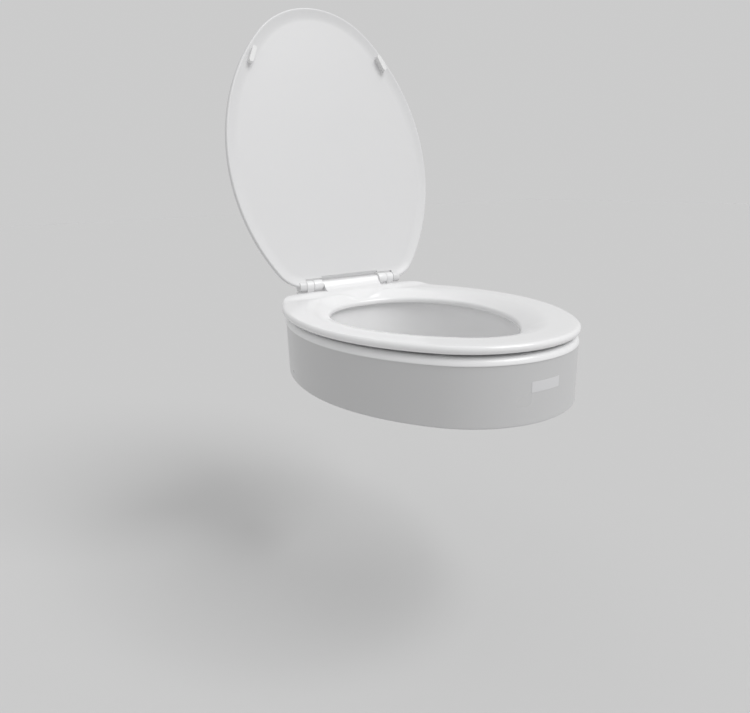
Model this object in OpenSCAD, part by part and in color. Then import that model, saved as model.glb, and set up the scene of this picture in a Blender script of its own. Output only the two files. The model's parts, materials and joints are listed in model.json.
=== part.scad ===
// Raised toilet seat: a hollow riser ring with a hinged seat and lid on top.
// Origin: midway between the two mounting bolts, on the underside of the rubber pads.
// +Z is up, -Y is the front of the seat, X runs across it. The lid is drawn open.

/* [Riser] */
// Height from the pad undersides to the riser deck, mm
riser_height = 88.9; // [80:0.1:100]
// Widest half width of the riser, mm
riser_half_width = 179.1; // [177:0.1:182]
// Distance from the bolts to the front of the riser, mm
riser_front = 474.2; // [470:0.1:480]
// Thickness of the outer and inner riser walls, mm
wall = 3.2; // [2.6:0.1:4]
// Thickness of the riser deck, mm
deck = 4; // [3:0.1:5]
// Height of the rounded band round the top of the riser, mm
band_height = 9.5; // [9:0.1:10.5]

/* [Seat] */
// Thickness of the seat at its crest, mm
seat_thickness = 11; // [10.4:0.1:12]
// How far the seat stands above the riser deck, mm
seat_gap = 3.8; // [3:0.1:4.5]
// How far the seat overhangs the riser sides, mm
seat_overhang = 3.2; // [2:0.1:4.5]
// Widest half width of the seat opening, mm
opening_half_width = 118.5; // [116:0.1:120]
// How far the seat dips from its crest to the opening, mm
dish = 12.3; // [10:0.1:13]
// Height of the rounded wall round the opening, mm
lip_height = 8; // [7.6:0.1:9]

/* [Lid] */
// Widest half width of the lid, mm
lid_half_width = 183.4; // [182:0.1:185]
// Length of the lid from the hinge axis to its front, mm
lid_length = 451.1; // [448:0.1:454]
// Angle the lid stands open in this drawing, degrees
lid_open = 103.2; // [90:0.1:104]

/* [Hinge and mounting] */
// Height of the hinge axis above the riser deck, mm
axis_rise = 29; // [28.8:0.1:31]
// How far the hinge axis sits in front of the bolts, mm
axis_setback = 18; // [17.5:0.1:18.5]
// Distance between the two mounting bolts, mm
bolt_spacing = 140; // [139.5:0.1:140.5]
// Radius of the bolt shank, mm
bolt_r = 4.76; // [4.6:0.01:4.8]
// Pitch radius of the bolt thread, mm
thread_r = 4.25; // [4.2:0.01:4.3]
// Length of bolt below the pad undersides, mm
bolt_drop = 70; // [60:1:90]
// Clearance of everything that turns on a pin or a bolt, mm
running = 0.05; // [0.02:0.01:0.08]

/* [Hidden] */
$fn = 64;

bolt_x = bolt_spacing / 2;
axis_y = -axis_setback;
axis_height = riser_height + axis_rise;
pad_proud = 3.2;
skirt_draft = 2;

// An outline is [half width, front, side, rear side and corner radius, front y, rear y].
riser_egg = [riser_half_width, 144.2, 311.9, 368.9, 51.1, -riser_front, 36];
seat_egg = [riser_half_width + seat_overhang, 144.5, 316.6, 373.6, 45, -riser_front - 1.7, axis_y - 5];
opening_egg = [opening_half_width, 64.1, 240.5, 168.8, 90.2, -401.9, -69.5];
lid_egg = [lid_half_width, 138.2, 308.8, 306.4, 57.1, -lid_length, 2.8];

seat_under = riser_height + seat_gap;
seat_crest = seat_under + seat_thickness;
seat_inner = seat_crest - dish;
seat_lip = seat_inner - lip_height;
lip_wall = 5;
riser_opening_gap = 8;
wall_inset = 0.8;
edge_roll_r = 6;
edge_roll_from = 114;
edge_roll_drop = 3.8;
slope_start = 4.5;
slope_run = 40;
slope_steps = 8;
crest_in = 17;
rear_rise = 5.2;
rise_from = axis_y - 42;
rise_run = 30;
lip_sink = 2.8;
arc_steps = 12;

// Heights below are from the hinge axis, as the seat and lid turn about it.
lid_under = -7;
lid_top = 2;
lid_rim = 6;
lid_dish = 2.6;
lid_dish_run = 40;
lid_steps = 5;
roll_r = 6.2;
roll_half = 52;
notch_inner = 53.5;
knuckle_in = 54;
knuckle_out = 70;
knuckle_r = 9;
post_in = 70.5;
post_out = 82.5;
post_r = 8.5;
lug_in = 83;
lug_out = 95.5;
pin_r = 4;
pin_in = 56;
pin_out = 93.5;
deck_z = riser_height - axis_height;

foot_in = 57;
foot_out = 83;
foot_front = -2;
foot_rear = 34;
foot_h = 8;
bolt_hole_r = 6.5;
head_r = 8;
head_h = 5;
cap_in = 58;
cap_out = 82;
cap_wall = 1.5;
cap_front = 8.9;
cap_rear = 32.5;
cap_top = 8.5;
cap_axis_y = 36;
cap_axis_z = 11.5;
cap_knuckle_r = 3;
cap_pin_r = 1.4;
ear_in = 64;
ear_out = 76;
ear_front = 33.2;
ear_gap = 0.3;

shank_drop = 28;
washer_top = 29;
rubber_h = 4;
flat_h = 1.6;
nut_gap = 0.2;
nut_h = 10;

function front_y(e) = e[5] + e[1];
function side_x(e) = e[0] - e[2];
function side_y(e) = front_y(e) + sqrt(pow(e[2] - e[1], 2) - pow(side_x(e), 2));
function rear_x(e) = e[0] - e[3];
function corner_y(e) = e[6] - e[4];
function corner_x(e) = rear_x(e) + sqrt(pow(e[3] - e[4], 2) - pow(corner_y(e) - side_y(e), 2));
function front_angle(e) = atan2(front_y(e) - side_y(e), -side_x(e));
function corner_angle(e) = atan2(corner_y(e) - side_y(e), corner_x(e) - rear_x(e));
function arc(cx, cy, r, a, b, n) = [
  for (i = [0:n - 1])
    let (t = a + (b - a) * i / n)
      [cx + r * cos(t), cy + r * sin(t)]
];
function right_half(e, d) = concat(
  arc(0, front_y(e), e[1] + d, -90, front_angle(e), arc_steps),
  arc(side_x(e), side_y(e), e[2] + d, front_angle(e), 0, arc_steps),
  arc(rear_x(e), side_y(e), e[3] + d, 0, corner_angle(e), arc_steps),
  arc(corner_x(e), corner_y(e), e[4] + d, corner_angle(e), 90, arc_steps),
  [[corner_x(e), e[6] + d]]
);
function mirrored(p) = [for (i = [len(p) - 1:-1:1]) [-p[i][0], p[i][1]]];
function outline(e, d) = concat(right_half(e, d), mirrored(right_half(e, d)));
function smooth(t) = let (u = max(0, min(1, t))) u * u * (3 - 2 * u);
// The seat top rises towards its hinges by this much.
function rear_lift(y) = rear_rise * smooth((y - rise_from) / rise_run);
// A ring of points is written [outline, distance outwards, height, share of the rise].
function lift_share(r) = len(r) > 3 ? r[3] : 0;
function ring(r) = [for (p = outline(r[0], r[1])) [p[0], p[1], r[2] + lift_share(r) * rear_lift(p[1])]];
function rings(list) = [for (r = list) ring(r)];
// A rounded edge: rings from angle a to b about a centre that lies d from the outline.
function round_edge(e, d, z, r, a, b, n) = [
  for (i = [0:n])
    let (t = a + (b - a) * i / n)
      [e, d + r * cos(t), z + r * sin(t)]
];
function lifted(list, low, high) = [for (r = list) [r[0], r[1], r[2], smooth((r[2] - low) / (high - low))]];
function band_faces(n, a, b) = [
  for (i = [0:n - 1], half = [0, 1])
    let (j = (i + 1) % n)
      half == 0 ? [a * n + i, b * n + i, b * n + j] : [a * n + i, b * n + j, a * n + j]
];

module both() {
  children();
  mirror([1, 0, 0]) children();
}

// A ring-shaped body: rings of points joined in order and back to the first.
module hoop(rows) {
  n = len(rows[0]);
  m = len(rows);
  polyhedron(
    points = [for (r = rows) each r],
    faces = [for (k = [0:m - 1]) each band_faces(n, k, (k + 1) % m)]
  );
}

// A plate-shaped body: rings joined in order, with the first and last filled in.
module disc(rows) {
  n = len(rows[0]);
  m = len(rows);
  polyhedron(
    points = [for (r = rows) each r],
    faces = concat(
      [for (k = [0:m - 2]) each band_faces(n, k, k + 1)],
      [for (i = [1:n - 2]) [0, i, i + 1]],
      [for (i = [1:n - 2]) [(m - 1) * n, (m - 1) * n + i + 1, (m - 1) * n + i]]
    )
  );
}

// Carry a profile along one arc of an outline; x of the profile is the distance outwards.
module along_arc(cx, cy, r, a, b) {
  translate([cx, cy, 0])
    rotate([0, 0, a])
      rotate_extrude(angle = b - a, $fn = 180)
        translate([r, 0])
          children();
}

// A flat plate between two outlines.
module plate(outer, outer_d, inner, inner_d, z0, z1) {
  translate([0, 0, z0])
    linear_extrude(z1 - z0)
      difference() {
        polygon(outline(outer, outer_d));
        polygon(outline(inner, inner_d));
      }
}

module box(x0, x1, y0, y1, z0, z1) {
  translate([x0, y0, z0])
    cube([x1 - x0, y1 - y0, z1 - z0]);
}

// A round bar along X between x0 and x1.
module bar(x0, x1, r) {
  translate([x0, 0, 0])
    rotate([0, 90, 0])
      cylinder(h = x1 - x0, r = r);
}

// A profile drawn in Y and Z, run along X between x0 and x1.
module run_x(x0, x1) {
  translate([x0, 0, 0])
    rotate([90, 0, 90])
      linear_extrude(x1 - x0)
        children();
}

module at_axis() {
  translate([0, axis_y, axis_height])
    children();
}

// ---- Riser ----

deck_edge_r = 2;
band_r = band_height - 0.3;

module riser_shell() {
  g = riser_opening_gap;
  crease = riser_height - band_height;
  hoop(rings(concat(
    [
      [riser_egg, -skirt_draft, pad_proud],
      [riser_egg, -wall_inset, crease],
      [riser_egg, 0, crease]
    ],
    round_edge(riser_egg, -band_r, riser_height - band_r, band_r, 0, 90, 5),
    round_edge(opening_egg, g + deck_edge_r, riser_height - deck_edge_r, deck_edge_r, 90, 180, 3),
    [
      [opening_egg, g, pad_proud],
      [opening_egg, g + wall, pad_proud],
      [opening_egg, g + wall, riser_height - deck],
      [riser_egg, -wall_inset - wall, riser_height - deck - wall],
      [riser_egg, -skirt_draft - wall, pad_proud]
    ]
  )));
}

module riser_channel() {
  inner_d = riser_opening_gap + wall / 2;
  plate(riser_egg, -skirt_draft - wall / 2, opening_egg, inner_d, pad_proud, riser_height - deck / 2);
}

rear_pad = [118, -70];
front_pad = [90, -396];
pad_r = 11;
pad_h = 6.2;
boss_r = 14;

rib_t = 2.6;
rib_h = 30;
rib_z = riser_height - deck - rib_h;
rib_len = 120;
side_ribs = [[front_pad, -38], [rear_pad, 34], [[150, -215], 0], [[137, -320], -24]];

module riser_ribs() {
  intersection() {
    riser_channel();
    union() {
      both() {
        for (spot = side_ribs)
          translate([spot[0][0], spot[0][1], rib_z])
            rotate([0, 0, spot[1]])
              translate([-rib_len / 2, -rib_t / 2, 0])
                cube([rib_len, rib_t, rib_h + 1]);
        box(bolt_x - rib_t / 2, bolt_x + rib_t / 2, -90, 70, rib_z, rib_z + rib_h + 1);
      }
      box(-rib_t / 2, rib_t / 2, -480, -380, rib_z, rib_z + rib_h + 1);
    }
  }
}

module riser_bosses() {
  for (side = [-1, 1]) {
    for (p = [front_pad, rear_pad])
      translate([side * p[0], p[1], pad_proud])
        cylinder(h = riser_height - deck - pad_proud + 1, r = boss_r);
    translate([side * bolt_x, 0, pad_proud])
      cylinder(h = riser_height - deck - pad_proud + 1, r = boss_r - 2);
  }
}

module riser_body() {
  color([0.93, 0.93, 0.93])
    difference() {
      union() {
        riser_shell();
        riser_ribs();
        riser_bosses();
      }
      for (side = [-1, 1]) {
        for (p = [front_pad, rear_pad])
          translate([side * p[0], p[1], -1])
            cylinder(h = pad_h + 1, r = pad_r + 0.3);
        for (p = [front_pad, rear_pad])
          translate([side * p[0], p[1], pad_h + 4])
            cylinder(h = riser_height - deck - pad_h - 4, r = pad_r);
        translate([side * bolt_x, 0, -1])
          cylinder(h = riser_height + 2, r = bolt_hole_r);
      }
    }
}

module riser_pad(side, p) {
  color([0.25, 0.25, 0.26])
    translate([side * p[0], p[1], 0])
      cylinder(h = pad_h, r = pad_r);
}

module rating_label() {
  z0 = 43;
  z1 = 56;
  label_t = 0.25;
  run = riser_height - band_height - pad_proud;
  draft = skirt_draft - wall_inset;
  in0 = -wall_inset - draft * (1 - (z0 - pad_proud) / run);
  in1 = -wall_inset - draft * (1 - (z1 - pad_proud) / run);
  color([0.8, 0.8, 0.82])
    along_arc(0, front_y(riser_egg), riser_egg[1], -97, -79)
      polygon([[in0 + 0.02, z0], [in0 + label_t, z0], [in1 + label_t, z1], [in1 + 0.02, z1]]);
}

// ---- Seat ----

// Height of the seat top along its slope: s is 0 at the opening and 1 at the crest.
function dish_z(s) = seat_inner + dish * sin(90 * s);
// A ring on the slope, a share t of the way from the opening to the crest.
function slope_ring(t) =
  let (a = outline(opening_egg, slope_start), b = outline(seat_egg, -crest_in))
    [for (i = [0:len(a) - 1])
      let (
        gap = norm(b[i] - a[i]),
        run = min(slope_run, slope_start + gap),
        p = a[i] + t * (b[i] - a[i])
      )
        [p[0], p[1], dish_z(min(1, (slope_start + t * gap) / run)) + rear_lift(p[1])]];

module seat_shell() {
  r = seat_thickness / 2;
  lip_r = lip_wall / 2;
  edge_centre = seat_inner - edge_roll_drop;
  hoop(concat(
    rings(lifted(round_edge(seat_egg, -r, seat_under + r, r, -90, 75, 6), seat_under, seat_crest - 1)),
    rings([[seat_egg, -11, seat_crest - 0.2, 1], [seat_egg, -crest_in, seat_crest, 1]]),
    [for (i = [slope_steps - 1:-1:0]) slope_ring(i / slope_steps)],
    rings(concat(
      round_edge(opening_egg, edge_roll_r, edge_centre, edge_roll_r, edge_roll_from, 180, 4),
      round_edge(opening_egg, lip_r, seat_lip + lip_r, lip_r, 180, 360, 6),
      [
        [opening_egg, lip_wall, seat_under - lip_sink],
        [opening_egg, 12, seat_under - lip_sink],
        [opening_egg, 18, seat_under]
      ]
    ))
  ));
}

// The seat climbs between its hinges to a roll on the hinge axis. Y and Z are from that axis.
module seat_bridge_profile() {
  under = seat_under - axis_height;
  polygon([
    [-26, -12.5], [-18, -9], [-13, -5.8], [-9, -1.8], [-5.4, 3.1],
    [0, 0], [roll_r, 0], [3, -6], [3, under], [-26, under]
  ]);
}

module seat_arm_profile() {
  under = seat_under - axis_height;
  polygon([[-14, -12], [-4, -12], [-3.5, -6], [3, -6], [3, -14], [-3, -19.5], [-3, under], [-14, under]]);
}

module seat_ring() {
  color([0.95, 0.95, 0.95])
    difference() {
      union() {
        seat_shell();
        at_axis() {
          run_x(-roll_half, roll_half) seat_bridge_profile();
          bar(-knuckle_in - 0.5, knuckle_in + 0.5, roll_r);
          both() {
            run_x(roll_half - 1, knuckle_out) seat_arm_profile();
            bar(knuckle_in, knuckle_out, knuckle_r);
          }
        }
      }
      at_axis() both() bar(pin_in - 1, knuckle_out + 1, pin_r + running);
      for (side = [-1, 1])
        for (p = bumper_spots)
          translate([side * p[0], p[1], seat_under - 1])
            cylinder(h = bumper_sink + 1, r = bumper_r + 0.3);
    }
}

bumper_spots = [[92, -404], [150, -150]];
bumper_r = 8;
bumper_sink = 3;

module seat_bumper(side, p) {
  color([0.82, 0.82, 0.82])
    translate([side * p[0], p[1], riser_height + 0.1])
      cylinder(h = seat_gap + bumper_sink - 0.1, r = bumper_r);
}

// ---- Lid, drawn shut about the hinge axis and then opened ----

module opened() {
  at_axis() rotate([-lid_open, 0, 0]) children();
}

module lid_shell() {
  r = 3;
  disc(rings(concat(
    [for (i = [lid_steps:-1:0])
      let (d = lid_rim + lid_dish_run * i / lid_steps)
        [lid_egg, -d, lid_under + lid_dish * smooth(i / lid_steps)]],
    round_edge(lid_egg, -r, lid_under + r, r, -90, 0, 4),
    round_edge(lid_egg, -r, lid_top - r, r, 0, 90, 4),
    [[lid_egg, -lid_rim, lid_top]]
  )));
}

// Cleared behind the lid so that it closes in front of the seat's roll.
module lid_notch_profile() {
  polygon([[-19.5, -12], [-19.5, -7], [-13.5, -4], [-8.6, 0], [-7.6, 1.4], [-7.3, 3], [12, 3], [12, -12]]);
}

lid_bumper_spot = [118.2, -367];
lid_bumper_turn = -24.6;
lid_bumper_high = lid_under + 3;
lid_bumper_low = seat_crest - axis_height + 0.2;
lid_bumper_w = 7;
lid_bumper_len = 20;

module lid_bumper_block(side, grow, z0, z1) {
  translate([side * lid_bumper_spot[0], lid_bumper_spot[1], z0])
    rotate([0, 0, side * lid_bumper_turn])
      linear_extrude(z1 - z0) {
        square([lid_bumper_w + 2 * grow, lid_bumper_len], center = true);
        for (end = [-1, 1])
          translate([0, end * lid_bumper_len / 2])
            circle(lid_bumper_w / 2 + grow);
      }
}

module lid_panel() {
  color([0.94, 0.94, 0.94])
    opened()
      difference() {
        union() {
          difference() {
            lid_shell();
            run_x(-notch_inner, notch_inner) lid_notch_profile();
            both() box(notch_inner - 1, lug_in, -knuckle_r - 1.6, 10, -20, 20);
          }
          both() bar(lug_in, lug_out, knuckle_r);
        }
        both() bar(lug_in - 1, pin_out + 1, pin_r + running);
        for (side = [-1, 1])
          lid_bumper_block(side, 0.2, lid_under - 1, lid_bumper_high);
      }
}

module lid_bumper(side) {
  color([0.86, 0.86, 0.86])
    opened()
      lid_bumper_block(side, 0, lid_bumper_low, lid_bumper_high);
}

// ---- Hinge posts, pins and bolts ----

module post_profile() {
  circle(post_r);
  polygon([
    [-post_r, 0], [post_r, 0], [post_r - 0.5, deck_z + foot_h - 1],
    [post_r - 0.5, deck_z + 1], [foot_front, deck_z + 1], [foot_front, deck_z + foot_h]
  ]);
}

module hinge_post(side) {
  color([0.93, 0.93, 0.93])
    mirror([side < 0 ? 1 : 0, 0, 0])
      difference() {
        union() {
          at_axis() {
            run_x(post_in, post_out) post_profile();
            box(foot_in, foot_out, foot_front, foot_rear, deck_z, deck_z + foot_h);
            box(ear_in, ear_out, ear_front, cap_axis_y + 2, deck_z, deck_z + cap_axis_z);
            translate([0, cap_axis_y, deck_z + cap_axis_z])
              bar(ear_in, ear_out, cap_knuckle_r);
          }
        }
        at_axis() bar(post_in - 1, post_out + 1, pin_r);
        at_axis()
          translate([0, cap_axis_y, deck_z + cap_axis_z])
            bar(ear_in - 1, ear_out + 1, cap_pin_r + running);
        translate([bolt_x, 0, riser_height - 1])
          cylinder(h = foot_h + 2, r = bolt_hole_r);
      }
}

module hinge_pin(side) {
  color([0.75, 0.75, 0.77])
    mirror([side < 0 ? 1 : 0, 0, 0])
      at_axis() bar(pin_in, pin_out, pin_r);
}

module mounting_bolt(side) {
  top = riser_height + foot_h;
  color([0.75, 0.75, 0.77])
    translate([side * bolt_x, 0, 0])
      difference() {
        union() {
          translate([0, 0, top])
            cylinder(h = head_h, r = head_r);
          translate([0, 0, -shank_drop])
            cylinder(h = top + shank_drop + 1, r = bolt_r);
          translate([0, 0, -bolt_drop])
            cylinder(h = bolt_drop - shank_drop + 1, r = thread_r);
        }
        translate([0, 0, top + head_h - 2.5])
          cylinder(h = 3, r = 4, $fn = 6);
      }
}

module bolt_cap(side) {
  z0 = deck_z + foot_h;
  color([0.93, 0.93, 0.93])
    mirror([side < 0 ? 1 : 0, 0, 0])
      at_axis() {
        difference() {
          box(cap_in, cap_out, cap_front, cap_rear, z0 + 0.1, z0 + cap_top);
          box(
            cap_in + cap_wall, cap_out - cap_wall,
            cap_front - 1, cap_rear - cap_wall,
            z0 - 1, z0 + cap_top - cap_wall
          );
        }
        for (x = [[cap_in, ear_in - ear_gap], [ear_out + ear_gap, cap_out]]) {
          box(x[0], x[1], cap_rear - 1, cap_axis_y, deck_z + cap_axis_z - 1.5, deck_z + cap_axis_z + 1.5);
          translate([0, cap_axis_y, deck_z + cap_axis_z])
            bar(x[0], x[1], cap_knuckle_r);
        }
        translate([0, cap_axis_y, deck_z + cap_axis_z]) {
          bar(ear_in - 1, bolt_x - 1, cap_pin_r);
          bar(bolt_x + 1, ear_out + 1, cap_pin_r);
        }
      }
}

module rubber_washer(side) {
  color([0.2, 0.2, 0.2])
    translate([side * bolt_x, 0, -washer_top - rubber_h])
      difference() {
        cylinder(h = rubber_h, r = 12);
        translate([0, 0, -1])
          cylinder(h = rubber_h + 2, r = thread_r + 0.3);
      }
}

module flat_washer(side) {
  color([0.7, 0.7, 0.72])
    translate([side * bolt_x, 0, -washer_top - rubber_h - flat_h])
      difference() {
        cylinder(h = flat_h, r = 13);
        translate([0, 0, -1])
          cylinder(h = flat_h + 2, r = thread_r + 0.3);
      }
}

module wing_nut(side) {
  top = -washer_top - rubber_h - flat_h - nut_gap;
  color([0.9, 0.9, 0.9])
    translate([side * bolt_x, 0, top - nut_h])
      difference() {
        union() {
          cylinder(h = nut_h, r = 9);
          rotate([90, 0, 0])
            translate([0, 0, -2])
              linear_extrude(4)
                for (end = [-1, 1]) {
                  translate([end * 15, nut_h / 2 - 3])
                    circle(7);
                  translate([end * 9 - 7, -2])
                    square([14, nut_h]);
                }
        }
        translate([0, 0, -20])
          cylinder(h = nut_h + 40, r = thread_r + running);
      }
}

riser_body();
riser_pad(-1, front_pad);  // riser_pad_front_left
riser_pad(1, front_pad);  // riser_pad_front_right
riser_pad(-1, rear_pad);  // riser_pad_rear_left
riser_pad(1, rear_pad);  // riser_pad_rear_right
rating_label();
seat_ring();
seat_bumper(-1, bumper_spots[0]);  // seat_bumper_front_left
seat_bumper(1, bumper_spots[0]);  // seat_bumper_front_right
seat_bumper(-1, bumper_spots[1]);  // seat_bumper_rear_left
seat_bumper(1, bumper_spots[1]);  // seat_bumper_rear_right
lid_panel();
lid_bumper(-1);  // lid_bumper_left
lid_bumper(1);  // lid_bumper_right
hinge_post(-1);  // hinge_post_left
hinge_post(1);  // hinge_post_right
hinge_pin(-1);  // hinge_pin_left
hinge_pin(1);  // hinge_pin_right
mounting_bolt(-1);  // mounting_bolt_left
mounting_bolt(1);  // mounting_bolt_right
bolt_cap(-1);  // bolt_cap_left
bolt_cap(1);  // bolt_cap_right
rubber_washer(-1);  // rubber_washer_left
rubber_washer(1);  // rubber_washer_right
flat_washer(-1);  // flat_washer_left
flat_washer(1);  // flat_washer_right
wing_nut(-1);  // wing_nut_left
wing_nut(1);  // wing_nut_right
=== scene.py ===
"""Looks for the raised toilet seat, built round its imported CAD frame. Lengths are in mm until mesh()."""
import json
import math

import bmesh
import bpy
from mathutils import Matrix, Vector


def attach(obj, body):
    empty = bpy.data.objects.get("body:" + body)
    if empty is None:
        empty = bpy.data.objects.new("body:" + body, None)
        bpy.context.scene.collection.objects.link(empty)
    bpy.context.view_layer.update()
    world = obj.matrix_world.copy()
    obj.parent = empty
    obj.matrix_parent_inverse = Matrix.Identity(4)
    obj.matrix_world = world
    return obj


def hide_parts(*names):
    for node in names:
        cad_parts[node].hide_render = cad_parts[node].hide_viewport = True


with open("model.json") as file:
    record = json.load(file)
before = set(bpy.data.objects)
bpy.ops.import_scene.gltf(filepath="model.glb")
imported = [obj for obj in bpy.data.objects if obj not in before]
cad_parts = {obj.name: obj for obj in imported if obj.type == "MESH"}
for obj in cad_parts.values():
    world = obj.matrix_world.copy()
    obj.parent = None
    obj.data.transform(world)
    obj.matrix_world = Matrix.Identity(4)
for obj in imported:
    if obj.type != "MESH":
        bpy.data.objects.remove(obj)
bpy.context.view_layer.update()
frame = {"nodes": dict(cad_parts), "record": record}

MM = 0.001
FLOOR_Z = -0.39  # in metres: the riser is drawn where a toilet bowl would hold it
BOLT_X = 70.0
PAD_TOP = 3.2
DECK_Z = 88.9
AXIS_Y, AXIS_Z = -18.0, 117.9
LID_OPEN = 103.2
SEAT_UNDER = 92.7
SEAT_CREST = 103.7
DISH = 12.3
SEAT_INNER = SEAT_CREST - DISH
SEAT_LIP = SEAT_INNER - 8.0
SLOPE_RUN = 40.0
WALL = 3.2
WALL_DRAFT = 2.0
CREASE_Z = DECK_Z - 9.5  # where the rounded band meets the outer wall
DECK_IN = DECK_Z - 3.6  # ribs and bosses end inside the deck
INNER_GAP = 8.0  # the inner wall stands this far outside the opening of the seat


# ---------------------------------------------------------------- outlines

class Egg:
    """A closed outline of eight arcs and one straight, with its parallels."""

    def __init__(self, hw, rf, rs, rr, rc, yf, yr):
        self.hw, self.rf, self.rs, self.rr, self.rc, self.yf, self.yr = hw, rf, rs, rr, rc, yf, yr
        self.fy = yf + rf
        self.sx = hw - rs
        self.sy = self.fy + math.sqrt((rs - rf) ** 2 - self.sx ** 2)
        self.rx = hw - rr
        self.cy = yr - rc
        self.cx = self.rx + math.sqrt((rr - rc) ** 2 - (self.cy - self.sy) ** 2)
        self.fa = math.atan2(self.fy - self.sy, -self.sx)
        self.ca = math.atan2(self.cy - self.sy, self.cx - self.rx)
        self.arcs = (
            (0.0, self.fy, self.rf, -math.pi / 2, self.fa),
            (self.sx, self.sy, self.rs, self.fa, 0.0),
            (self.rx, self.sy, self.rr, 0.0, self.ca),
            (self.cx, self.cy, self.rc, self.ca, math.pi / 2),
        )

    def ring(self, d, steps=26, back=8):
        """The outline moved outwards by d, as one closed list of points."""
        half = []
        for cx, cy, r, a, b in self.arcs:
            for i in range(steps):
                t = a + (b - a) * i / steps
                half.append((cx + (r + d) * math.cos(t), cy + (r + d) * math.sin(t)))
        for i in range(back + 1):
            half.append((self.cx * (1 - i / back), self.yr + d))
        return half + [(-x, y) for x, y in reversed(half[1:-1])]


RISER = Egg(179.1, 144.2, 311.9, 368.9, 51.1, -474.2, 36.0)
SEAT = Egg(182.3, 144.5, 316.6, 373.6, 45.0, -475.9, AXIS_Y - 5)
OPENING = Egg(118.5, 64.1, 240.5, 168.8, 90.2, -401.9, -69.5)
LID = Egg(183.4, 138.2, 308.8, 306.4, 57.1, -451.1, 2.8)


def smooth(t):
    t = min(1.0, max(0.0, t))
    return t * t * (3 - 2 * t)


def corner(d, z, r, a, b, n):
    """Points of a rounded profile edge about a centre at distance d and height z."""
    out = []
    for i in range(n + 1):
        t = math.radians(a + (b - a) * i / n)
        out.append((d + r * math.cos(t), z + r * math.sin(t)))
    return out


# ---------------------------------------------------------------- meshes

def mesh(name, verts, faces, place=None, angle=35.0):
    data = bpy.data.meshes.new(name)
    data.from_pydata([(x * MM, y * MM, z * MM) for x, y, z in verts], [], faces)
    bm = bmesh.new()
    bm.from_mesh(data)
    bmesh.ops.remove_doubles(bm, verts=bm.verts, dist=1e-6)
    bmesh.ops.recalc_face_normals(bm, faces=bm.faces)
    if place is not None:
        bmesh.ops.transform(bm, matrix=place, verts=bm.verts)
    bm.to_mesh(data)
    bm.free()
    obj = bpy.data.objects.new(name, data)
    bpy.context.scene.collection.objects.link(obj)
    soften(obj, angle)
    return obj


def soften(obj, angle=35.0):
    for p in obj.data.polygons:
        p.use_smooth = True
    obj.data.set_sharp_from_angle(angle=math.radians(angle))


def band(a, b, n):
    """Faces between two rings of n points that start at a and at b."""
    return [(a + i, b + i, b + (i + 1) % n, a + (i + 1) % n) for i in range(n)]


def hoop_data(rings):
    """A closed tube of matched rings that joins its last ring to its first."""
    n, m = len(rings[0]), len(rings)
    verts = [p for r in rings for p in r]
    faces = []
    for k in range(m):
        faces += band(k * n, ((k + 1) % m) * n, n)
    return verts, faces


def disc_data(rings):
    """A solid of matched rings, closed by a fan at its first and its last ring."""
    n, m = len(rings[0]), len(rings)
    verts = [p for r in rings for p in r]
    faces = []
    for k in range(m - 1):
        faces += band(k * n, (k + 1) * n, n)
    first, last = len(verts), len(verts) + 1
    for base in (0, (m - 1) * n):
        x = sum(p[0] for p in verts[base:base + n]) / n
        y = sum(p[1] for p in verts[base:base + n]) / n
        verts.append((x, y, verts[base][2]))
    faces += [((i + 1) % n, i, first) for i in range(n)]
    b = (m - 1) * n
    faces += [(b + i, b + (i + 1) % n, last) for i in range(n)]
    return verts, faces


def run_profile(points, x0, x1):
    """A closed profile of (y, z) points, run along X."""
    n = len(points)
    verts = [(x0, y, z) for y, z in points] + [(x1, y, z) for y, z in points]
    faces = [(i, (i + 1) % n, n + (i + 1) % n, n + i) for i in range(n)]
    faces += [tuple(range(n - 1, -1, -1)), tuple(range(n, 2 * n))]
    return verts, faces


def box_data(x0, x1, y0, y1, z0, z1):
    return run_profile([(y0, z0), (y1, z0), (y1, z1), (y0, z1)], x0, x1)


def lathe(points, steps=64):
    """A solid turned about Z from a profile of (r, z), on the axis at both ends or closed."""
    verts, faces = [], []
    n = len(points)
    for i in range(steps):
        t = 2 * math.pi * i / steps
        verts += [(r * math.cos(t), r * math.sin(t), z) for r, z in points]
    for i in range(steps):
        a, b = i * n, ((i + 1) % steps) * n
        for k in range(n):
            j = (k + 1) % n
            faces.append((a + k, b + k, b + j, a + j))
    return verts, faces


def moved(data, dx=0.0, dy=0.0, dz=0.0, turn=None):
    verts, faces = data
    out = []
    for v in verts:
        p = Vector(v)
        if turn is not None:
            p = turn @ p
        out.append((p.x + dx, p.y + dy, p.z + dz))
    return out, faces


def merged(*parts):
    verts, faces = [], []
    for v, f in parts:
        base = len(verts)
        verts += list(v)
        faces += [tuple(i + base for i in face) for face in f]
    return verts, faces


def span(side, a, b):
    """The range of x from a to b on one side of the middle."""
    return sorted((side * a, side * b))


def boolean(obj, other, operation):
    mod = obj.modifiers.new("bool", "BOOLEAN")
    mod.operation = operation
    mod.solver = "EXACT"
    mod.object = other
    apply_all(obj)
    bpy.data.objects.remove(other)


def bevel(obj, width, segments=3, angle=35.0):
    mod = obj.modifiers.new("bevel", "BEVEL")
    mod.width = width * MM
    mod.segments = segments
    mod.limit_method = "ANGLE"
    mod.angle_limit = math.radians(angle)
    mod.harden_normals = False
    apply_all(obj)
    soften(obj)


def apply_all(obj):
    deps = bpy.context.evaluated_depsgraph_get()
    done = bpy.data.meshes.new_from_object(obj.evaluated_get(deps))
    obj.modifiers.clear()
    obj.data = done


# ---------------------------------------------------------------- riser

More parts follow.
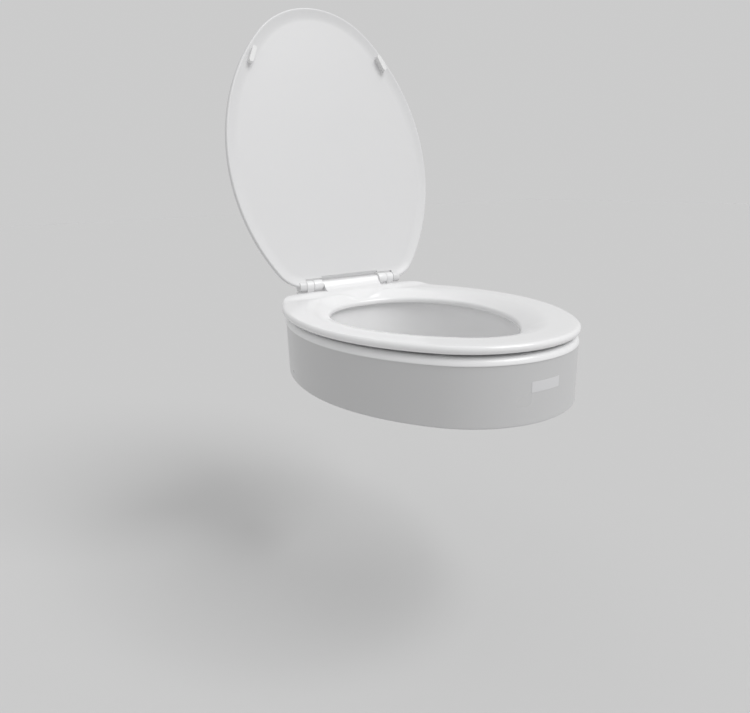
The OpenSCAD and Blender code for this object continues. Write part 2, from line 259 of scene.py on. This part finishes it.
def riser_rings():
    outer, inner = [], []
    profile = corner(-3.6, PAD_TOP + 1.6, 1.6, -90, 0, 4)
    levels = (0.02, 0.1, 0.3, 0.5, 0.7, 0.9, 1.0)
    profile += [(-WALL_DRAFT + 1.2 * t, 6.0 + (CREASE_Z - 6.6) * t) for t in levels]
    profile += [(-0.75, CREASE_Z - 0.1), (-0.1, CREASE_Z + 0.15)]
    profile += corner(-9.2, DECK_Z - 9.2, 9.2, 0, 90, 18)
    for d, z in profile:
        outer.append([(x, y, z) for x, y in RISER.ring(d)])
    gap = INNER_GAP
    profile = [(gap + 14, DECK_Z)] + corner(gap + 2, DECK_Z - 2, 2, 90, 180, 6)
    profile += corner(gap + 1.2, PAD_TOP + 1.2, 1.2, 180, 270, 3)
    profile += corner(gap + WALL - 0.8, PAD_TOP + 0.8, 0.8, 270, 360, 3)
    profile += [(gap + WALL, DECK_Z - 5), (gap + WALL + 1, DECK_Z - 4)]
    for d, z in profile:
        inner.append([(x, y, z) for x, y in OPENING.ring(d)])
    under = [(-WALL - 4.0, DECK_Z - 4), (-WALL - 1.6, DECK_Z - 6), (-0.8 - WALL, CREASE_Z - 1)]
    under += [(-2 - WALL, PAD_TOP + 0.4), (-1.8 - WALL, PAD_TOP)]
    outer_back = [[(x, y, z) for x, y in RISER.ring(d)] for d, z in under]
    return outer + inner + outer_back


riser = mesh("riser_shell", *hoop_data(riser_rings()))


def inside(egg, x, y):
    """How far a point lies inside an outline, in mm."""
    ax = abs(x)
    best = -1e9
    for cx, cy, r, a, b in egg.arcs:
        t = math.atan2(y - cy, ax - cx)
        if a - 1e-9 <= t <= b + 1e-9:
            best = max(best, r - math.hypot(ax - cx, y - cy))
    if ax <= egg.cx:
        flat = egg.yr - y
        best = flat if best < -1e8 else min(best, flat) if y > egg.cy else best
    return best


RIB_REACH, RIB_STEP = 120, 0.5
RIB_HALF = 1.3
RIB_UNDER = DECK_Z - 34


def channel_rib(x, y, turn):
    """A rib across the hollow of the riser, trimmed to end inside its walls."""
    c, s = math.cos(math.radians(turn)), math.sin(math.radians(turn))

    def reach(sign):
        d = 0.0
        while d < RIB_REACH:
            px, py = x + sign * d * c, y + sign * d * s
            in_outer = inside(RISER, px, py) < WALL_DRAFT + WALL * 0.5
            in_inner = inside(OPENING, px, py) > -(INNER_GAP + WALL * 0.5)
            if in_outer or in_inner:
                return d
            d += RIB_STEP
        return d

    a, b = reach(-1), reach(1)
    data = box_data(-a, b, -RIB_HALF, RIB_HALF, RIB_UNDER, DECK_IN)
    return moved(data, x, y, 0, Matrix.Rotation(math.radians(turn), 4, "Z"))


FRONT_PAD, REAR_PAD = (90.0, -396.0), (118.0, -70.0)
PAD_R, PAD_H = 11.0, 6.2
PAD_PLAY = 0.3
BOSS_R = 14
TUBE_IN, TUBE_OUT = 6.5, 12
# place and turn of the ribs on one side
RIBS = ((*FRONT_PAD, -38), (*REAR_PAD, 34), (150, -215, 0), (137, -320, -24), (70, -10, 90))
ribs = []
for side in (-1, 1):
    for x, y, turn in RIBS:
        if side < 0:
            turn = 180 - turn
        ribs.append(channel_rib(side * x, y, turn))
ribs.append(channel_rib(0, -440, 90))
bosses = []
for side in (-1, 1):
    for x, y in (FRONT_PAD, REAR_PAD):
        post = [(0, PAD_H), (PAD_R + PAD_PLAY, PAD_H), (PAD_R + PAD_PLAY, PAD_TOP)]
        post += [(BOSS_R, PAD_TOP), (BOSS_R, DECK_IN), (0, DECK_IN)]
        bosses.append(moved(lathe(post, 48), side * x, y))
    tube = [(TUBE_IN, PAD_TOP), (TUBE_OUT, PAD_TOP), (TUBE_OUT, DECK_IN), (TUBE_IN, DECK_IN)]
    bosses.append(moved(lathe(tube, 48), side * BOLT_X, 0))
riser_ribs = mesh("riser_ribs", *merged(*ribs))
bevel(riser_ribs, 0.5, 2)
riser_bosses = mesh("riser_bosses", *merged(*bosses))


# ---------------------------------------------------------------- seat

EDGE_ROLL_R = 6.0
EDGE_ROLL_DROP = 3.8
SLOPE_START = 4.5
CREST_IN = 17.0
REAR_RISE = 5.2
RISE_FROM, RISE_RUN = AXIS_Y - 42, 30.0
LIP_R = 2.5


def dish(s):
    """Height of the seat top along its slope: s is 0 at the opening and 1 at the crest."""
    return SEAT_INNER + DISH * math.sin(math.pi / 2 * min(1.0, s))


def lift(y):
    """The seat top rises towards its hinges."""
    return REAR_RISE * smooth((y - RISE_FROM) / RISE_RUN)


def slope_ring(t):
    """A ring of the dished seat top: t is 0 at the opening and 1 at the crest."""
    out = []
    for (ax, ay), (bx, by) in zip(OPENING.ring(SLOPE_START), SEAT.ring(-CREST_IN)):
        gap = math.hypot(bx - ax, by - ay)
        run = min(SLOPE_RUN, SLOPE_START + gap)
        x, y = ax + t * (bx - ax), ay + t * (by - ay)
        out.append((x, y, dish((SLOPE_START + t * gap) / run) + lift(y)))
    return out


def seat_rings():
    r = (SEAT_CREST - SEAT_UNDER) / 2
    outer = corner(-r, SEAT_UNDER + r, r, -90, 66, 16)
    outer += [(-5.6, SEAT_CREST - 0.3), (-8.5, SEAT_CREST - 0.1)]
    outer += [(-12.0, SEAT_CREST), (-CREST_IN, SEAT_CREST)]
    rings = []
    for d, z in outer:
        share = smooth((z - SEAT_UNDER) / (2 * r - 1))
        rings.append([(x, y, z + share * lift(y)) for x, y in SEAT.ring(d)])
    steps = 24
    rings += [slope_ring(i / steps) for i in range(steps - 1, -1, -1)]
    inner = corner(EDGE_ROLL_R, SEAT_INNER - EDGE_ROLL_DROP, EDGE_ROLL_R, 114, 180, 10)
    inner += corner(LIP_R, SEAT_LIP + LIP_R, LIP_R, 180, 360, 10)
    inner += [(5, SEAT_UNDER - 2.8), (12, SEAT_UNDER - 2.8), (18, SEAT_UNDER)]
    rings += [[(x, y, z) for x, y in OPENING.ring(d)] for d, z in inner]
    return rings


seat = mesh("seat_top", *hoop_data(seat_rings()))


def round_bar(x0, x1, r, edge, steps=64, n=4):
    """A bar along X from x0 to x1 with rounded ends."""
    turns = [math.pi / 2 * i / n for i in range(n + 1)]
    pts = [(0.0, x0)]
    pts += [(r - edge + edge * math.sin(t), x0 + edge - edge * math.cos(t)) for t in turns]
    pts += [(r - edge + edge * math.cos(t), x1 - edge + edge * math.sin(t)) for t in turns]
    pts += [(0.0, x1)]
    return moved(lathe(pts, steps), turn=Matrix.Rotation(math.pi / 2, 4, "Y"))


def curve(points, n=6):
    """A smooth line through the points (Catmull-Rom)."""
    p = [points[0]] + list(points) + [points[-1]]
    out = []
    for i in range(1, len(p) - 2):
        for k in range(n):
            t = k / n
            out.append(tuple(
                0.5 * (2 * b + (c - a) * t + (2 * a - 5 * b + 4 * c - d) * t * t
                       + (3 * b - a - 3 * c + d) * t ** 3)
                for a, b, c, d in zip(p[i - 1], p[i], p[i + 1], p[i + 2])))
    return out + [points[-1]]


UNDER = SEAT_UNDER - AXIS_Z
ROLL_R = 6.2
ROLL_HALF, BRIDGE_HALF = 54.5, 52
KNUCKLE_R, KNUCKLE_EDGE = 9.0, 0.9
ARM_FROM, KNUCKLE_FROM, KNUCKLE_TO = 51.0, 54.0, 70.0
rise = curve([(-26, -12.5), (-18, -9.0), (-13, -5.8), (-9, -1.8), (-5.4, 3.1)])
for a in range(140, -31, -10):
    rise.append((ROLL_R * math.cos(math.radians(a)), ROLL_R * math.sin(math.radians(a))))


def add_at_hinge(name, data):
    """Join a shape, given about the hinge axis, to the seat."""
    boolean(seat, mesh(name, *moved(data, 0, AXIS_Y, AXIS_Z)), "UNION")


add_at_hinge("roll", round_bar(-ROLL_HALF, ROLL_HALF, ROLL_R, 0.01))
bridge = rise + [(3, -6), (3, UNDER), (-26, UNDER)]
add_at_hinge("bridge", run_profile(bridge, -BRIDGE_HALF, BRIDGE_HALF))
arm = [(-14, -12), (-4, -12), (-3.5, -6), (3, -6), (3, -14), (-3, -19.5), (-3, UNDER), (-14, UNDER)]
for side in (-1, 1):
    add_at_hinge("arm", run_profile(arm, *span(side, ARM_FROM, KNUCKLE_TO)))
    add_at_hinge("knuckle", round_bar(*span(side, KNUCKLE_FROM, KNUCKLE_TO), KNUCKLE_R, KNUCKLE_EDGE))
bevel(seat, 0.7, 2, 50)

# ---------------------------------------------------------------- lid

AXIS = Vector((0, AXIS_Y, AXIS_Z)) * MM
OPENED = Matrix.Translation(AXIS) @ Matrix.Rotation(math.radians(-LID_OPEN), 4, "X")


LID_UNDER, LID_TOP = -7.0, 2.0
LID_DISH, LID_RIM, LID_DISH_RUN = 3.2, 2.6, 18.0
LID_MID_Y = -225.0
LID_EDGE_LOW, LID_EDGE_TOP = 2.4, 3.2
LID_TOP_IN = 3.4
LUG_FROM, LUG_TO = 83.0, 95.5
NOTCH_HALF = 53.5
POST_FROM = 52.5


def lid_rings():
    def shrunk(scale, z, d):
        """A ring d from the lid outline, drawn in towards the middle of the lid."""
        return [(x * scale, LID_MID_Y + (y - LID_MID_Y) * scale, z) for x, y in LID.ring(d)]

    low = -LID_RIM - LID_DISH_RUN
    rings = [shrunk(s, LID_UNDER + LID_DISH, low) for s in (0.02, 0.3, 0.6, 0.85)]
    steps = 12
    profile = []
    for i in range(steps, 0, -1):
        t = i / steps
        profile.append((-LID_RIM - LID_DISH_RUN * t, LID_UNDER + LID_DISH * math.sin(math.pi / 2 * t)))
    profile += corner(-LID_EDGE_LOW, LID_UNDER + LID_EDGE_LOW, LID_EDGE_LOW, -90, 0, 8)
    profile += corner(-LID_EDGE_TOP, LID_TOP - LID_EDGE_TOP, LID_EDGE_TOP, 0, 90, 8)
    rings += [[(x, y, z) for x, y in LID.ring(d)] for d, z in profile]
    rings += [shrunk(s, LID_TOP, -LID_TOP_IN) for s in (0.98, 0.9, 0.7, 0.5, 0.3, 0.1, 0.02)]
    return rings


lid = mesh("lid_cover", *disc_data(lid_rings()))
notch = [(-19.5, -12), (-19.5, -7), (-13.5, -4), (-8.6, 0), (-7.6, 1.4), (-7.3, 3), (12, 3), (12, -12)]
cuts = [run_profile(notch, -NOTCH_HALF, NOTCH_HALF)]
cuts += [box_data(*span(s, POST_FROM, LUG_FROM), -10.6, 12, -20, 20) for s in (-1, 1)]
for c in cuts:
    boolean(lid, mesh("cut", *c), "DIFFERENCE")
for side in (-1, 1):
    lug = round_bar(*span(side, LUG_FROM, LUG_TO), KNUCKLE_R, KNUCKLE_EDGE)
    boolean(lid, mesh("lug", *lug), "UNION")
bevel(lid, 0.8, 2, 50)
lid.data.transform(OPENED)

# ---------------------------------------------------------------- materials


def plastic(name, tone, rough, bump, scale, mottling, coat=0.0):
    """A moulded surface: slightly uneven in tone and gloss, with a fine grain of the given strength."""
    mat = bpy.data.materials.new(name)
    mat.use_nodes = True
    nodes, links = mat.node_tree.nodes, mat.node_tree.links
    shader = nodes["Principled BSDF"]
    shader.inputs["IOR"].default_value = 1.49
    shader.inputs["Coat Weight"].default_value = coat
    shader.inputs["Coat Roughness"].default_value = 0.12
    place = nodes.new("ShaderNodeTexCoord")
    cloud = nodes.new("ShaderNodeTexNoise")
    cloud.inputs["Scale"].default_value = 14.0
    cloud.inputs["Detail"].default_value = 3.0
    links.new(place.outputs["Object"], cloud.inputs["Vector"])
    blend = nodes.new("ShaderNodeMix")
    blend.data_type = "RGBA"
    low = [max(0.0, c - mottling) for c in tone]
    high = [min(1.0, c + mottling) for c in tone]
    blend.inputs["A"].default_value = (*low, 1)
    blend.inputs["B"].default_value = (*high, 1)
    links.new(cloud.outputs["Fac"], blend.inputs["Factor"])
    links.new(blend.outputs["Result"], shader.inputs["Base Color"])
    wear = nodes.new("ShaderNodeTexNoise")
    wear.inputs["Scale"].default_value = 24.0
    wear.inputs["Detail"].default_value = 2.0
    links.new(place.outputs["Object"], wear.inputs["Vector"])
    span = nodes.new("ShaderNodeMapRange")
    span.inputs["To Min"].default_value = rough - 0.02
    span.inputs["To Max"].default_value = rough + 0.03
    links.new(wear.outputs["Fac"], span.inputs["Value"])
    links.new(span.outputs["Result"], shader.inputs["Roughness"])
    grain = nodes.new("ShaderNodeTexNoise")
    grain.inputs["Scale"].default_value = scale
    grain.inputs["Detail"].default_value = 2.0
    links.new(place.outputs["Object"], grain.inputs["Vector"])
    relief = nodes.new("ShaderNodeBump")
    relief.inputs["Strength"].default_value = bump
    relief.inputs["Distance"].default_value = 0.0004
    links.new(grain.outputs["Fac"], relief.inputs["Height"])
    links.new(relief.outputs["Normal"], shader.inputs["Normal"])
    return mat


def paint_wall_shade(mat, tone, crease):
    """Paint shade onto the outer wall of a ring-shaped piece: darken it by the given tone below its
    crease, where it faces outwards.
    """
    nodes, links = mat.node_tree.nodes, mat.node_tree.links
    place = nodes.new("ShaderNodeTexCoord")
    split = nodes.new("ShaderNodeSeparateXYZ")
    links.new(place.outputs["Object"], split.inputs["Vector"])
    below = nodes.new("ShaderNodeMapRange")
    below.inputs["From Min"].default_value = crease + 0.0015
    below.inputs["From Max"].default_value = crease - 0.0005
    links.new(split.outputs["Z"], below.inputs["Value"])
    arm = nodes.new("ShaderNodeVectorMath")
    arm.operation = "ADD"
    arm.inputs[1].default_value = (0, 0.22, 0)
    links.new(place.outputs["Object"], arm.inputs[0])
    flat = nodes.new("ShaderNodeVectorMath")
    flat.operation = "MULTIPLY"
    flat.inputs[1].default_value = (1, 1, 0)
    links.new(arm.outputs["Vector"], flat.inputs[0])
    facing = nodes.new("ShaderNodeVectorMath")
    facing.operation = "DOT_PRODUCT"
    links.new(flat.outputs["Vector"], facing.inputs[0])
    links.new(place.outputs["Normal"], facing.inputs[1])
    outward = nodes.new("ShaderNodeMapRange")
    outward.inputs["From Min"].default_value = -0.02
    outward.inputs["From Max"].default_value = 0.02
    links.new(facing.outputs["Value"], outward.inputs["Value"])
    both = nodes.new("ShaderNodeMath")
    both.operation = "MULTIPLY"
    links.new(below.outputs["Result"], both.inputs[0])
    links.new(outward.outputs["Result"], both.inputs[1])
    shader = nodes["Principled BSDF"]
    base = shader.inputs["Base Color"].links[0].from_socket
    mix = nodes.new("ShaderNodeMix")
    mix.data_type = "RGBA"
    mix.blend_type = "MULTIPLY"
    mix.inputs["B"].default_value = (tone, tone, tone, 1)
    links.new(both.outputs["Value"], mix.inputs["Factor"])
    links.new(base, mix.inputs["A"])
    links.new(mix.outputs["Result"], shader.inputs["Base Color"])


PAINTED_WALL_SHADE = 0.68  # painted shade: how dark the outer wall is drawn against the rest of the riser, matched to the photo

mat_seat = plastic(
    "seat_white", (0.84, 0.84, 0.845), rough=0.24, bump=0.006, scale=700, mottling=0.003, coat=0.25)
mat_lid = plastic(
    "lid_white", (0.72, 0.72, 0.725), rough=0.34, bump=0.006, scale=700, mottling=0.003, coat=0.1)
mat_riser = plastic(
    "riser_white_painted_wall_shade", (0.86, 0.86, 0.865), rough=0.28, bump=0.004, scale=1100, mottling=0.002, coat=0.3)
# painted shade: the riser's outer wall below the crease is drawn darker than the rounded band above it
paint_wall_shade(mat_riser, PAINTED_WALL_SHADE, CREASE_Z * MM)
mat_hinge = plastic("hinge_white", (0.83, 0.83, 0.835), rough=0.3, bump=0.04, scale=1000, mottling=0.008)
mat_bumper = plastic("bumper_white", (0.8, 0.8, 0.8), rough=0.55, bump=0.1, scale=1500, mottling=0.02)
mat_rubber = plastic("pad_rubber", (0.035, 0.035, 0.037), rough=0.7, bump=0.3, scale=1300, mottling=0.01)
mat_nut = plastic("nut_white", (0.74, 0.74, 0.72), rough=0.45, bump=0.08, scale=1200, mottling=0.02)


def metal(name):
    mat = plastic(name, (0.6, 0.61, 0.63), rough=0.3, bump=0.12, scale=2400, mottling=0.04)
    mat.node_tree.nodes["Principled BSDF"].inputs["Metallic"].default_value = 1.0
    return mat


mat_steel = metal("zinc_steel")
mat_label = plastic("label_film", (0.68, 0.68, 0.69), rough=0.5, bump=0.02, scale=1800, mottling=0.01)

pieces = (
    (riser, "riser", "riser_plastic", mat_riser),
    (riser_ribs, "riser", "riser_plastic", mat_riser),
    (riser_bosses, "riser", "riser_plastic", mat_riser),
    (seat, "seat", "seat_plastic", mat_seat),
    (lid, "lid", "lid_plastic", mat_lid),
)
for obj, body, slot, mat in pieces:
    obj.data.materials.clear()
    obj.data.materials.append(mat)
    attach(obj, body)
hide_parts("riser_body")
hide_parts("seat_ring")
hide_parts("lid_panel")

BY_SLOT = {
    "riser_plastic": mat_riser,
    "seat_plastic": mat_seat,
    "lid_plastic": mat_lid,
    "hinge_plastic": mat_hinge,
    "bumper_plastic": mat_bumper,
    "pad_rubber": mat_rubber,
    "label_film": mat_label,
    "bolt_steel": mat_steel,
    "nut_plastic": mat_nut,
}
slots = {s["node"]: s["material_slot"] for s in frame["record"]["subparts"]}
for node, obj in frame["nodes"].items():
    for i in range(len(obj.material_slots)):
        obj.material_slots[i].material = BY_SLOT[slots[node]]

# ---------------------------------------------------------------- stage, light and camera


FLOOR_HALF = 12.0
FLOOR_TONE = (0.6, 0.6, 0.6, 1)
HAZE_LOW, HAZE_HIGH = 0.26, 0.36  # heights between which the backdrop changes tone
BACKDROP_LOW, BACKDROP_HIGH = (0.6, 0.6, 0.6, 1), (0.52, 0.52, 0.52, 1)


def stage_plane(name, size, z):
    data = bpy.data.meshes.new(name)
    corners = [(-size, -size, z), (size, -size, z), (size, size, z), (-size, size, z)]
    data.from_pydata(corners, [], [(0, 1, 2, 3)])
    obj = bpy.data.objects.new(name, data)
    bpy.context.scene.collection.objects.link(obj)
    return obj


floor = stage_plane("floor", FLOOR_HALF, FLOOR_Z)
floor_mat = bpy.data.materials.new("floor_pale")
floor_mat.use_nodes = True
fs = floor_mat.node_tree.nodes["Principled BSDF"]
fs.inputs["Base Color"].default_value = FLOOR_TONE
fs.inputs["Roughness"].default_value = 0.9
fs.inputs["Specular IOR Level"].default_value = 0.1
floor.data.materials.append(floor_mat)

world = bpy.data.worlds.new("studio")
bpy.context.scene.world = world
world.use_nodes = True
wn, wl = world.node_tree.nodes, world.node_tree.links
sky = wn.new("ShaderNodeTexCoord")
split = wn.new("ShaderNodeSeparateXYZ")
wl.new(sky.outputs["Generated"], split.inputs["Vector"])
ramp_node = wn.new("ShaderNodeValToRGB")
wl.new(split.outputs["Z"], ramp_node.inputs["Fac"])
ramp_node.color_ramp.elements[0].position = HAZE_LOW
ramp_node.color_ramp.elements[0].color = BACKDROP_LOW
ramp_node.color_ramp.elements[1].position = HAZE_HIGH
ramp_node.color_ramp.elements[1].color = BACKDROP_HIGH
wl.new(ramp_node.outputs["Color"], wn["Background"].inputs["Color"])
wn["Background"].inputs["Strength"].default_value = 1.0


def sun(name, direction, strength, angle):
    """A soft light that comes from the given direction."""
    light = bpy.data.lights.new(name, "SUN")
    light.energy = strength
    light.angle = math.radians(angle)
    obj = bpy.data.objects.new(name, light)
    bpy.context.scene.collection.objects.link(obj)
    obj.rotation_euler = Vector(direction).to_track_quat("Z", "Y").to_euler()


sun("top_light", (0.0, -0.1, 1.0), strength=0.25, angle=60)
sun("front_light", (0.3, -0.66, 0.95), strength=1.55, angle=36)

# the camera as fitted to the photo
FOCAL_PX, PHOTO_WIDTH, SENSOR = 677.97, 750, 36
CAMERA_AT = (-0.5564, -1.0169, 0.2906)
AZ, EL, ROLL = math.radians(-31.101), math.radians(14.976), math.radians(-1.476)
back = Vector((math.sin(AZ) * math.cos(EL), -math.cos(AZ) * math.cos(EL), math.sin(EL)))
right = Vector((math.cos(AZ), math.sin(AZ), 0))
up = right.cross(-back)
cam_x = right * math.cos(ROLL) + up * math.sin(ROLL)
cam_y = -right * math.sin(ROLL) + up * math.cos(ROLL)
cam_data = bpy.data.cameras.new("camera")
cam_data.lens = FOCAL_PX / PHOTO_WIDTH * SENSOR
cam_data.sensor_width = SENSOR
cam_data.clip_end = 100
cam = bpy.data.objects.new("camera", cam_data)
bpy.context.scene.collection.objects.link(cam)
rot = Matrix((cam_x, cam_y, back)).transposed().to_4x4()
cam.matrix_world = Matrix.Translation(CAMERA_AT) @ rot
bpy.context.scene.camera = cam
bpy.context.scene.view_settings.view_transform = "Standard"
